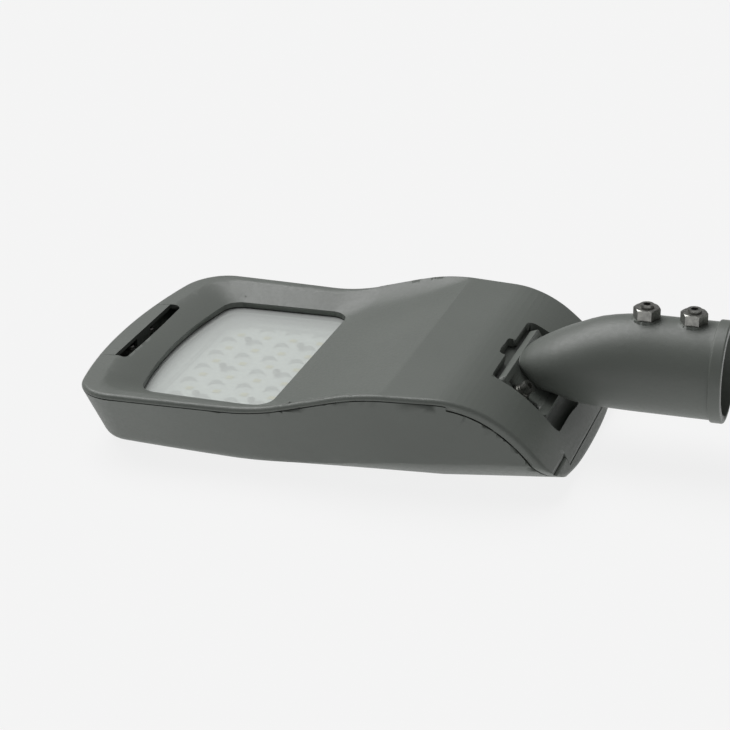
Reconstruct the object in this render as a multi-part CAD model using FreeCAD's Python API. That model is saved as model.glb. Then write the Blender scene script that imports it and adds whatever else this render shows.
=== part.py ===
import FreeCAD, Part
import math
import os

# LED street light head, lying on its back with the light face up.
# Millimetres. Origin: centre of the spigot bore's mouth. +X out of the spigot, +Z up, Y = 0 is the mirror plane.

# Driving sizes: spigot
BORE_DIAMETER = 62.0          # clears a 60 mm pole end
BORE_LENGTH = 74.0
TUBE_DIAMETER = 70.0
STRAIGHT_TUBE = 60.0
COLLAR_LENGTH = 9.0
COLLAR_RISE = 1.6
CABLE_WAY_RADIUS = 9.0
SET_SCREW_PLACES = (-59.5, -26.0)
SET_SCREW_RADIUS = 5.0        # M10
NUT_ACROSS_FLATS = 17.0
NUT_HEIGHT = 8.0
SCREW_STICK_OUT = 2.3
SCREW_BACK_OFF = 0.8          # gap between the screw's end and the bore

# Sections of the nose: offset from the tilt axis, middle height, half height and half width over the tube's radius
NOSE_SECTIONS = ((37.0, -0.5, 0.977, 1.0), (19.0, -2.0, 0.914, 0.994), (4.0, -4.0, 0.8, 0.957),
                 (-10.0, -5.0, 0.643, 0.886), (-22.0, -7.0, 0.514, 0.743), (-31.0, -6.0, 0.314, 0.571),
                 (-38.0, -6.5, 0.114, 0.343))
NOSE_STEPS = 2

# Driving sizes: tilting knuckle
KNUCKLE_X = -112.0            # tilt axis, parallel to Y
KNUCKLE_Z = 11.0
KNUCKLE_RADIUS = 40.0         # face that the washers bear on
PLATE_THICKNESS = 5.5
PLATE_HALF_WIDTH = 48.0
PLATE_START = 199.5           # degrees about the tilt axis, front end of the curved plate
PLATE_END = 259.0
PLATE_CORNER = 5.0
BOLT_ANGLE = 224.0
BOLT_SIDE = 39.0
BOLT_RADIUS = 3.0             # M6
BOLT_GRIP = 14.0
BOLT_HEAD_RADIUS = 5.0
BOLT_HEAD = 6.0
SLOT_HALF_WIDTH = 3.5
SLOT_START = 211.4            # slot's end centres
SLOT_END = 245.0
RUNNING_GAP = 0.3
CABLE_WAY_START = 211.0
CABLE_WAY_END = 249.0

# Driving sizes: shape of the head
FACE_FRONT_Z = -16.8
FRONT_DROOP_X = -415.0        # in front of this the face bends down
FRONT_DROOP_ROUND = 420.0
FACE_CREST_Z = 5.0
RAMP_FOOT_X = -315.0
RAMP_HEAD_X = -238.5
RAMP_ROUND = 150.0
REAR_UPPER_ROUND = 80.0
REAR_UPPER_X = -184.8
REAR_UPPER_TURN = 34.2        # degrees, where the flatter lower round takes over
REAR_ROUND = 124.3
RIM_ROUND = 3.0
BASE_Z = -68.0
WALLS_TOP_Z = 12.0
COVER_EDGE = 3.5
COVER_EDGE_REAR = 6.0
SEAM_STEP_X = -174.0
SEAM_GAP = 0.8
SEAM_GAP_REAR = 1.2
WALL = 4.0
FLOOR = 4.0

# Plan of the walls at their top and at the base
TOP_FRONT_X = -477.6
BASE_FRONT_X = -452.0
TOP_REAR_X = -81.0
BASE_REAR_X = -90.5
TOP_HALF_FRONT = 147.5
BASE_HALF_FRONT = 93.0
TOP_HALF_REAR = 103.3
BASE_HALF_REAR = 102.5
TOP_SIDE_BULGE = 1.2
BASE_SIDE_BULGE = 6.0
FRONT_ARC_RADIUS = 420.0
REAR_ARC_RADIUS = 330.0
TOP_FRONT_CORNER = 46.0
BASE_FRONT_CORNER = 20.0
REAR_CORNER = 18.0
BASE_ROUND = 14.0

# Sections of the belly: place along X, half width at the base, half width and height where it meets the wall
BELLY_SECTIONS = ((-520.0, 120.0, 150.0, -64.0), (-330.0, 85.0, 112.0, -58.0), (-183.0, 72.0, 107.5, -45.0),
                  (-112.0, 50.0, 104.5, -38.0), (-60.0, 30.0, 101.0, -34.0))

# Window and its sunken border
WINDOW_REAR_X = -312.8
WINDOW_FRONT_X = -423.0
WINDOW_HALF_FRONT = 90.0
WINDOW_HALF_REAR = 92.0
WINDOW_FRONT_ARC = 400.0
WINDOW_CORNER = 15.0
WINDOW_Z = -26.0
BORDER_HEIGHT = 40.0
BORDER_FLARE_SIDE = 112.0     # spread of the border over BORDER_HEIGHT
BORDER_FLARE_SIDE_REAR = 66.0 # the same beside the ramp
BORDER_FLARE_REAR = 119.5
BORDER_FLARE_FRONT = 135.0
BORDER_REAR_CORNER = 32.0     # growth of the rear corners over BORDER_HEIGHT
RIM_STRIP = 3.2
BORDER_THICKNESS = 4.0
GLASS_THICKNESS = 4.0
GLASS_OVERLAP = 5.0
GLASS_GASKET = 1.0
GLASS_GASKET_WIDTH = 5.0
FLANGE_WIDTH = 12.5
FLANGE_THICKNESS = 3.0
RETAINER_THICKNESS = 1.5
RETAINER_SCREW_RADIUS = 1.5
RETAINER_BOSS_RADIUS = 3.5
BOSS_OFFSET = 10.0

# Light engine
LED_COLUMNS = 4
LED_ROWS = 6
LED_PITCH_X = 22.0
LED_PITCH_Y = 26.5
LED_CENTRE_X = -363.0
BOARD_MARGIN_X = 19.0
BOARD_MARGIN_Y = 21.0
DECK_Z = -46.0
DECK_THICKNESS = 5.0
BAY_SPLIT_X = -300.0
BOARD_THICKNESS = 1.6
CHIP_SIZE = 5.0
CHIP_HEIGHT = 0.7
CHIP_CLEARANCE = 0.5
LENS_PLATE = 1.5
LENS_RADIUS = 8.0
LENS_HEIGHT = 5.2
LENS_RIM = 2.0
LED_SCREW_RADIUS = 1.5
LED_SCREW_HEAD = 3.0
SCREW_HEAD_HEIGHT = 2.2
SCREW_PLAY = 0.25
SHIELD_THICKNESS = 2.0
SHIELD_GAP = 1.0
SHIELD_FRONT_X = -436.0
SHIELD_HALF = 97.0
FIN_PITCH = 12.0
FIN_GAP = 8.0
FIN_HALF = 76.0
FIN_FRONT_X = -424.0

# Gear bay
GEAR_REAR_X = -166.0
DRIVER_LENGTH = 108.0
DRIVER_WIDTH = 58.0
DRIVER_HEIGHT = 34.0
DRIVER_X = -288.0
DRIVER_Y = -70.0
DRIVER_EAR = 9.0
EAR_THICKNESS = 2.5
SURGE_LENGTH = 44.0
SURGE_WIDTH = 30.0
SURGE_HEIGHT = 27.0
SURGE_X = -284.0
SURGE_Y = 22.0
TERMINAL_POLES = 5
TERMINAL_PITCH = 9.0
TERMINAL_LENGTH = 20.0
TERMINAL_HEIGHT = 15.0
TERMINAL_X = -224.0
TERMINAL_Y = 20.0
CLAMP_X = -182.0
CLAMP_SPAN = 15.0
CLAMP_POST = 8.0
CLAMP_HEIGHT = 20.0
BAY_SCREW_RADIUS = 2.0
BAY_SCREW_DEPTH = 3.0
THREAD_CLEARANCE = 0.05

# Hinge at the rear edge
HINGE_X = -103.5
HINGE_Z = -57.3
BARREL_RADIUS = 5.0
BARREL_HALF = 61.5
BARREL_GAP = 0.5
LUG_RADIUS = 5.9
PIN_RADIUS = 2.0
PIN_INNER = 38.0
PIN_OUTER = 76.0
SLIT_X = -102.8
COVER_LIMIT = 30.0           # degrees
TILT_LIMIT = 15.0
SLOT_CORNER = 3.5
SLIT_WIDTH = 0.8

# Latch
LATCH_HALF = 52.0
LATCH_GAP = 0.5
SLOT_REAR_X = -440.6
SLOT_FRONT_X = -449.5
LATCH_PIVOT_X = -459.0
LATCH_PIVOT_Z = -23.0
LATCH_BARREL = 3.3
LATCH_PLATE = 4.7             # underside below the flat face
LATCH_PIN_RADIUS = 1.5
LATCH_EAR = 7.0
HOOK_HALF = 12.0
HOOK_DROP = 6.0
HOOK_REACH = 2.2
HOOK_LEG = 2.4
HOOK_SHY = 0.4                # how far the hook ends short of the keeper
KEEPER_WIDTH = 4.0
KEEPER_THICKNESS = 1.5
KEEPER_FOOT = 8.0
KEEPER_SCREW_RADIUS = 1.5

# Cover pocket round the knuckle
POCKET_FRONT_X = -158.3
POCKET_REAR_X = -109.2
POCKET_HALF = 52.5
POCKET_CORNER = 6.0
NOTCH_HALF = 14.0
NOTCH_DEPTH = 5.0
CRADLE_GAP = 1.0

# Main seal
SEAL_WIDTH = 4.0
SEAL_HEIGHT = 5.0
SEAL_FRONT_X = -440.0
LEDGE_THICKNESS = 3.0

FAR = 600.0
SIDE = 200.0


def vec(x, y, z):
    return FreeCAD.Vector(x, y, z)


AXIS_X = vec(1, 0, 0)
AXIS_Y = vec(0, 1, 0)
AXIS_Z = vec(0, 0, 1)


def box(x0, x1, y0, y1, z0, z1):
    return Part.makeBox(x1 - x0, y1 - y0, z1 - z0, vec(x0, y0, z0))


def rod(radius, length, base, direction):
    return Part.makeCylinder(radius, length, base, direction)


def barrel(radius, half, x, z):
    """A cylinder along Y, centred on the mirror plane."""
    return rod(radius, 2 * half, vec(x, -half, z), AXIS_Y)


def polygon(points):
    return Part.Face(Part.makePolygon(points + [points[0]]))


def across(face, half):
    """A face in the XZ plane, made as wide as twice half."""
    moved = face.copy()
    moved.translate(vec(0, -half, 0))
    return moved.extrude(vec(0, 2 * half, 0))


def mirrored(shape):
    return shape.mirror(vec(0, 0, 0), AXIS_Y)


def shifted(shape, x, y, z):
    moved = shape.copy()
    moved.translate(vec(x, y, z))
    return moved


def hexagon(across_flats, height, base, direction):
    """A hexagonal prism standing on base along direction."""
    radius = across_flats / math.sqrt(3)
    points = [vec(radius * math.cos(math.radians(60 * k)), radius * math.sin(math.radians(60 * k)), 0)
              for k in range(6)]
    prism = polygon(points).extrude(vec(0, 0, height))
    prism.Placement = FreeCAD.Placement(base, FreeCAD.Rotation(AXIS_Z, direction))
    return prism


# Face of the head: flat front, ramp, crest and a round rear slope, all as one line in the XZ plane

def bend(corner, before, after, radius):
    """Arc that rounds a corner between two unit directions, with its two ends."""
    turn = math.acos(max(-1.0, min(1.0, before.dot(after))))
    reach = radius * math.tan(turn / 2)
    inward = after - before
    inward.normalize()
    middle = corner + inward * (radius / math.cos(turn / 2) - radius)
    start = corner - before * reach
    end = corner + after * reach
    return Part.Arc(start, middle, end).toShape(), start, end


def around(centre, radius, degrees):
    """Point on a circle in the XZ plane, degrees counted from straight up towards +X."""
    turn = math.radians(degrees)
    return vec(centre.x + radius * math.sin(turn), 0, centre.z + radius * math.cos(turn))


DROOP_CENTRE = vec(FRONT_DROOP_X, 0, FACE_FRONT_Z - FRONT_DROOP_ROUND)
UPPER_CENTRE = vec(REAR_UPPER_X, 0, FACE_CREST_Z - REAR_UPPER_ROUND)
SLOPE_CENTRE = around(UPPER_CENTRE, REAR_UPPER_ROUND - REAR_ROUND, REAR_UPPER_TURN)


def arc_around(centre, radius, start, end):
    return Part.Arc(around(centre, radius, start), around(centre, radius, (start + end) / 2),
                    around(centre, radius, end)).toShape()


def face_line(drop):
    """Edges of the face line, moved inwards by drop."""
    slope = math.atan2(FACE_CREST_Z - FACE_FRONT_Z, RAMP_HEAD_X - RAMP_FOOT_X)
    along = vec(math.cos(slope), 0, math.sin(slope))
    shift = drop * math.tan(slope / 2)
    foot, foot_in, foot_out = bend(vec(RAMP_FOOT_X + shift, 0, FACE_FRONT_Z - drop), AXIS_X, along,
                                   RAMP_ROUND + drop)
    head, head_in, head_out = bend(vec(RAMP_HEAD_X + shift, 0, FACE_CREST_Z - drop), along, AXIS_X,
                                   RAMP_ROUND - drop)
    nose = around(DROOP_CENTRE, FRONT_DROOP_ROUND - drop, -12.0)
    start = nose + vec(-1.0, 0, -math.tan(math.radians(12.0))) * 100.0
    brow = around(DROOP_CENTRE, FRONT_DROOP_ROUND - drop, 0.0)
    crown = around(UPPER_CENTRE, REAR_UPPER_ROUND - drop, 0.0)
    end = around(SLOPE_CENTRE, REAR_ROUND - drop, 86.0)
    return [Part.makeLine(start, nose), arc_around(DROOP_CENTRE, FRONT_DROOP_ROUND - drop, -12.0, 0.0),
            Part.makeLine(brow, foot_in), foot, Part.makeLine(foot_out, head_in), head,
            Part.makeLine(head_out, crown),
            arc_around(UPPER_CENTRE, REAR_UPPER_ROUND - drop, 0.0, REAR_UPPER_TURN),
            arc_around(SLOPE_CENTRE, REAR_ROUND - drop, REAR_UPPER_TURN, 86.0)], start, end


def below_face(drop):
    """All space under the face line moved inwards by drop."""
    edges, start, end = face_line(drop)
    low = BASE_Z - 60.0
    edges += [Part.makeLine(end, vec(end.x, 0, low)), Part.makeLine(vec(end.x, 0, low), vec(start.x, 0, low)),
              Part.makeLine(vec(start.x, 0, low), start)]
    return across(Part.Face(Part.Wire(edges)), SIDE)


def above_face(drop):
    """All space over the face line moved inwards by drop."""
    edges, start, end = face_line(drop)
    high = WALLS_TOP_Z + 60.0
    edges += [Part.makeLine(end, vec(0, 0, end.z)), Part.makeLine(vec(0, 0, end.z), vec(0, 0, high)),
              Part.makeLine(vec(0, 0, high), vec(start.x, 0, high)),
              Part.makeLine(vec(start.x, 0, high), start)]
    return across(Part.Face(Part.Wire(edges)), SIDE)


# Plans with a bulged front, slightly bulged sides, a straight or bulged rear and round corners

def upright_edges(shape, wanted):
    """Sharp vertical edges of a prism whose X passes the test."""
    found = []
    for edge in shape.Edges:
        bounds = edge.BoundBox
        if bounds.XLength < 0.01 and bounds.YLength < 0.01 and wanted(bounds.Center.x):
            found.append(edge)
    return found


def plan_wire(front_x, rear_x, half_front, half_rear, bulge, front_corner, rear_corner, arc_radius, z,
              rear_radius=None):
    corner_x = front_x + arc_radius - math.sqrt(arc_radius ** 2 - half_front ** 2)
    near = vec(corner_x, -half_front, z)
    far = vec(corner_x, half_front, z)
    rear_sag = rear_radius - math.sqrt(rear_radius ** 2 - half_rear ** 2) if rear_radius else 0.0
    rear_near = vec(rear_x - rear_sag, -half_rear, z)
    rear_far = vec(rear_x - rear_sag, half_rear, z)
    if rear_radius:
        rear = Part.Arc(rear_far, vec(rear_x, 0, z), rear_near).toShape()
    else:
        rear = Part.makeLine(rear_far, rear_near)
    middle = (half_front + half_rear) / 2 + bulge
    middle_x = (corner_x + rear_far.x) / 2
    edges = [Part.Arc(near, vec(front_x, 0, z), far).toShape(),
             Part.Arc(far, vec(middle_x, middle, z), rear_far).toShape(),
             rear,
             Part.Arc(rear_near, vec(middle_x, -middle, z), near).toShape()]
    prism = Part.Face(Part.Wire(edges)).extrude(vec(0, 0, 10.0))
    prism = prism.makeFillet(front_corner, upright_edges(prism, lambda x: x < middle_x))
    prism = prism.makeFillet(rear_corner, upright_edges(prism, lambda x: abs(x - rear_far.x) < 0.01))
    floor = [f for f in prism.Faces if abs(f.BoundBox.ZMax - z) < 0.01]
    return floor[0].OuterWire


def walls(inset):
    """Solid between the top plan and the base plan, both moved inwards by inset."""
    top = plan_wire(TOP_FRONT_X + inset, TOP_REAR_X - inset, TOP_HALF_FRONT - inset, TOP_HALF_REAR - inset,
                    TOP_SIDE_BULGE, TOP_FRONT_CORNER - inset * 0.8, REAR_CORNER - inset * 0.8,
                    FRONT_ARC_RADIUS - inset, WALLS_TOP_Z, REAR_ARC_RADIUS - inset)
    base = plan_wire(BASE_FRONT_X + inset, BASE_REAR_X - inset, BASE_HALF_FRONT - inset, BASE_HALF_REAR - inset,
                     BASE_SIDE_BULGE, BASE_FRONT_CORNER - inset * 0.8, REAR_CORNER - inset * 0.8,
                     FRONT_ARC_RADIUS - inset, BASE_Z, REAR_ARC_RADIUS - inset)
    return Part.makeLoft([base, top], True, True)


def belly_side(inset):
    """Space outside the rounded underside, on the far side only."""
    wires = []
    for x, flat, wall_y, wall_z in BELLY_SECTIONS:
        start = vec(x, flat - inset, BASE_Z + inset * 0.7)
        end = vec(x, wall_y - inset, wall_z + inset * 0.5)
        reach = (end - start).Length
        rise = math.radians(72.0)
        curve = Part.BezierCurve()
        curve.setPoles([start, start + vec(0, 0.38 * reach, 0.03 * reach),
                        end - vec(0, 0.2 * reach * math.cos(rise), 0.2 * reach * math.sin(rise)), end])
        top = end + vec(0, 60.0 * math.cos(rise), 60.0 * math.sin(rise))
        inner = vec(x, start.y - 30.0, BASE_Z - 3.0 + inset * 0.7)
        edges = [Part.makeLine(inner, start), curve.toShape(), Part.makeLine(end, top),
                 Part.makeLine(top, vec(x, SIDE, top.z)),
                 Part.makeLine(vec(x, SIDE, top.z), vec(x, SIDE, BASE_Z - 30.0)),
                 Part.makeLine(vec(x, SIDE, BASE_Z - 30.0), vec(x, inner.y, BASE_Z - 30.0)),
                 Part.makeLine(vec(x, inner.y, BASE_Z - 30.0), inner)]
        wires.append(Part.Wire(edges))
    return Part.makeLoft(wires, True, True)


def rim_edges(solid):
    """Edges between the face and the walls."""
    line = Part.Wire(face_line(0.0)[0])
    found = []
    for edge in solid.Edges:
        bounds = edge.BoundBox
        if bounds.XLength < 0.01 and bounds.ZLength < 0.01:
            continue
        places = [edge.valueAt(p) for p in edge.ParameterRange] + [edge.CenterOfMass]
        if all(line.distToShape(Part.Vertex(vec(p.x, 0, p.z)))[0] < 0.3 for p in places):
            found.append(edge)
    return found


def outer_shape():
    """Outside of the closed head, without the spigot."""
    solid = walls(0.0)
    rim = [e for e in solid.Edges if e.BoundBox.ZMax < BASE_Z + 0.01]
    solid = solid.makeFillet(BASE_ROUND, rim)
    side = belly_side(0.0)
    solid = solid.cut(side).cut(mirrored(side)).common(below_face(0.0))
    return solid.makeFillet(RIM_ROUND, rim_edges(solid))


def inner_shape(inset):
    side = belly_side(inset)
    return walls(inset).cut(side).cut(mirrored(side))


OUTER = outer_shape()
INNER = inner_shape(WALL)


# Window plan, grown outwards as asked

def window_wire(grow, z, flare=0.0):
    side = BORDER_FLARE_SIDE * flare + grow
    side_rear = BORDER_FLARE_SIDE_REAR * flare + grow
    rear = BORDER_FLARE_REAR * flare + grow
    front = BORDER_FLARE_FRONT * flare + grow
    rear_corner = WINDOW_CORNER + BORDER_REAR_CORNER * flare + grow
    return plan_wire(WINDOW_FRONT_X - front, WINDOW_REAR_X + rear, WINDOW_HALF_FRONT + side,
                     WINDOW_HALF_REAR + side_rear, 0.2, WINDOW_CORNER + min(side, front), rear_corner,
                     WINDOW_FRONT_ARC + front, z)


def window_prism(grow, z0, z1):
    return Part.Face(window_wire(grow, z0)).extrude(vec(0, 0, z1 - z0))


def border_space(drop):
    """Sunken space round the window, moved down by drop."""
    low = WINDOW_Z - drop
    return Part.makeLoft([window_wire(0.0, low), window_wire(0.0, low + BORDER_HEIGHT, 1.0)], True, True)


def boss_places():
    """Eight screws round the glass."""
    side = WINDOW_HALF_REAR + BOSS_OFFSET
    places = []
    for y in (-side, side):
        places += [(WINDOW_REAR_X - 22.0, y), (WINDOW_FRONT_X + 28.0, y)]
    for y in (-WINDOW_HALF_FRONT / 2, WINDOW_HALF_FRONT / 2):
        places += [(WINDOW_FRONT_X - BOSS_OFFSET + 1.2, y), (WINDOW_REAR_X + BOSS_OFFSET, y)]
    return places


FLANGE_Z = WINDOW_Z - BORDER_THICKNESS
GLASS_TOP = FLANGE_Z - GLASS_GASKET
GLASS_BOTTOM = GLASS_TOP - GLASS_THICKNESS
RETAINER_BOTTOM = GLASS_BOTTOM - RETAINER_THICKNESS
SEAM_DROP = COVER_EDGE + SEAM_GAP
SEAM_DROP_REAR = COVER_EDGE_REAR + SEAM_GAP_REAR
LUG_START = BARREL_HALF + BARREL_GAP
EAR_OUTER = LATCH_HALF + LATCH_GAP + LATCH_EAR


def beyond_hinge():
    """Space past the radial line from the slope's centre through the hinge axis, down to the base."""
    out = vec(HINGE_X - SLOPE_CENTRE.x, 0, HINGE_Z - SLOPE_CENTRE.z)
    out.normalize()
    tip = SLOPE_CENTRE + out * 200.0
    low = BASE_Z - 60.0
    return across(polygon([SLOPE_CENTRE, tip, vec(tip.x, 0, low), vec(SLOPE_CENTRE.x, 0, low)]), SIDE)


def pocket():
    """Opening round the knuckle, notched for the nose."""
    space = box(POCKET_FRONT_X, POCKET_REAR_X, -POCKET_HALF, POCKET_HALF, -80.0, 40.0)
    space = space.makeFillet(POCKET_CORNER, upright_edges(space, lambda x: True))
    notch = box(POCKET_FRONT_X - NOTCH_DEPTH, POCKET_FRONT_X + 10.0, -NOTCH_HALF, NOTCH_HALF, -80.0, 40.0)
    notch = notch.makeFillet(3.0, upright_edges(notch, lambda x: x < POCKET_FRONT_X))
    return space.fuse(notch)


def tilted_room():
    """Room that the fully open cover leaves for the fully tilted socket."""
    near = box(KNUCKLE_X - 60.0, KNUCKLE_X + 30.0, -POCKET_HALF, POCKET_HALF, -70.0, 60.0)
    solid = spigot().common(near)
    solid.rotate(vec(KNUCKLE_X, 0, KNUCKLE_Z), AXIS_Y, TILT_LIMIT)
    solid.rotate(vec(HINGE_X, 0, HINGE_Z), AXIS_Y, -COVER_LIMIT)
    copies = []
    for step in (vec(-0.5, 0, 0), vec(0, 0, -0.5)):
        copy = solid.copy()
        copy.translate(step)
        copies.append(copy)
    return copies


def cover_frame():
    """Sheet that follows the face line, sunk round the window, with a hinge barrel behind and an open pocket."""
    body = OUTER.cut(below_face(COVER_EDGE))
    thick = OUTER.cut(below_face(COVER_EDGE_REAR)).common(box(SEAM_STEP_X, 0, -SIDE, SIDE, -100, 40))
    body = body.fuse(thick)
    inside = inner_shape(WALL + SEAM_GAP).common(below_face(0.5))
    dish = border_space(BORDER_THICKNESS).common(inside)
    dish = dish.common(box(-FAR, SEAM_STEP_X - 15.0, -SIDE, SIDE, -100, 40))
    body = body.fuse(dish)
    body = body.fuse(window_prism(FLANGE_WIDTH, FLANGE_Z, FLANGE_Z + FLANGE_THICKNESS))
    for x, y in boss_places():
        body = body.fuse(rod(RETAINER_BOSS_RADIUS, FLANGE_Z + 1.0 - GLASS_BOTTOM, vec(x, y, GLASS_BOTTOM), AXIS_Z))
    body = body.cut(border_space(0.0).common(walls(RIM_STRIP)))
    body = body.cut(window_prism(0.0, FLANGE_Z - 1.0, WINDOW_Z + 1.0))
    for x, y in boss_places():
        body = body.cut(rod(RETAINER_SCREW_RADIUS + THREAD_CLEARANCE, 6.0, vec(x, y, GLASS_BOTTOM - 1.0), AXIS_Z))
    # rear edge: a hinge barrel in the middle, a plain end with a slit beside it
    middle = box(-FAR, 0, -BARREL_HALF, BARREL_HALF, -100, 40)
    ends = box(SLIT_X, 0, -SIDE, SIDE, -100, 40).fuse(barrel(LUG_RADIUS + BARREL_GAP, SIDE, HINGE_X, HINGE_Z))
    body = body.cut(ends.cut(middle))
    body = body.cut(beyond_hinge())
    body = body.fuse(barrel(BARREL_RADIUS, BARREL_HALF, HINGE_X, HINGE_Z))
    body = body.cut(barrel(PIN_RADIUS + THREAD_CLEARANCE, SIDE, HINGE_X, HINGE_Z))
    body = body.cut(pocket())
    for room in tilted_room():
        body = body.cut(room)
    # front edge: open notch for the latch and its finger slot, with an ear for the pin at each end
    ear = box(-FAR, LATCH_PIVOT_X + 4.0, -EAR_OUTER, EAR_OUTER, LATCH_PIVOT_Z - LATCH_BARREL, 0)
    body = body.fuse(ear.common(OUTER))
    slot = box(-FAR, SLOT_REAR_X, -LATCH_HALF - LATCH_GAP, LATCH_HALF + LATCH_GAP, -60, 0)
    body = body.cut(slot.makeFillet(SLOT_CORNER, upright_edges(slot, lambda x: x > SLOT_REAR_X - 1.0)))
    return body.cut(barrel(LATCH_PIN_RADIUS + THREAD_CLEARANCE, EAR_OUTER - 1.5, LATCH_PIVOT_X, LATCH_PIVOT_Z))


def seal_ring(low_drop, high_drop):
    """Band inside the walls, closed across the bay's rear and behind the latch."""
    outside = INNER.common(box(SEAL_FRONT_X, GEAR_REAR_X, -SIDE, SIDE, -100, 40))
    inside = inner_shape(WALL + SEAL_WIDTH)
    inside = inside.common(box(SEAL_FRONT_X + SEAL_WIDTH, GEAR_REAR_X - SEAL_WIDTH, -SIDE, SIDE, -110, 60))
    return outside.cut(inside).common(below_face(high_drop)).cut(below_face(low_drop))


SEAL_BASE_DROP = COVER_EDGE_REAR + BORDER_THICKNESS + SEAL_HEIGHT


def knuckle_point(radius, degrees, y=0.0):
    turn = math.radians(degrees)
    return vec(KNUCKLE_X + radius * math.cos(turn), y, KNUCKLE_Z + radius * math.sin(turn))


def knuckle_out(degrees):
    turn = math.radians(degrees)
    return vec(math.cos(turn), 0, math.sin(turn))


def sector(inner, outer, start, end, half):
    """Curved bar about the tilt axis."""
    middle = (start + end) / 2
    edges = [Part.Arc(knuckle_point(inner, start), knuckle_point(inner, middle), knuckle_point(inner, end)).toShape(),
             Part.makeLine(knuckle_point(inner, end), knuckle_point(outer, end)),
             Part.Arc(knuckle_point(outer, end), knuckle_point(outer, middle), knuckle_point(outer, start)).toShape(),
             Part.makeLine(knuckle_point(outer, start), knuckle_point(inner, start))]
    return across(Part.Face(Part.Wire(edges)), half)


PLATE_OUTER = KNUCKLE_RADIUS + PLATE_THICKNESS
CRADLE_RADIUS = PLATE_OUTER + RUNNING_GAP
HOOK_TIP_X = SLOT_FRONT_X - HOOK_LEG - HOOK_REACH
HOOK_TOP = LATCH_PIVOT_Z - HOOK_DROP
KEEPER_TIP_X = HOOK_TIP_X - HOOK_SHY
KEEPER_Z = HOOK_TOP + 0.5
KEEPER_SCREW_X = KEEPER_TIP_X + 2.0
KEEPER_SCREW_Y = HOOK_HALF + 2.0 + KEEPER_FOOT / 2
BAY_FLOOR = BASE_Z + FLOOR


def driver_ears():
    middle = DRIVER_Y + DRIVER_WIDTH / 2
    return [(DRIVER_X + DRIVER_EAR / 2, middle), (DRIVER_X + DRIVER_LENGTH - DRIVER_EAR / 2, middle)]


def led_screw_places():
    middles = [(i - (LED_ROWS - 2) / 2) * LED_PITCH_Y for i in range(0, LED_ROWS - 1, 2)]
    return [(LED_CENTRE_X + sx * LED_PITCH_X, y) for sx in (-1.0, 1.0) for y in middles]


def keeper_screw_places():
    return [(KEEPER_SCREW_X, -KEEPER_SCREW_Y), (KEEPER_SCREW_X, KEEPER_SCREW_Y)]


def screw_holes():
    """Threaded holes along Z in the housing: place, height of the face, radius and depth."""
    holes = [(x, y, BAY_FLOOR, BAY_SCREW_RADIUS, BAY_SCREW_DEPTH) for x, y in driver_ears()]
    holes += [(x, y, DECK_Z, LED_SCREW_RADIUS, DECK_THICKNESS - 1.0) for x, y in led_screw_places()]
    holes += [(x, y, KEEPER_Z, KEEPER_SCREW_RADIUS, 5.0) for x, y in keeper_screw_places()]
    return holes


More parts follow.
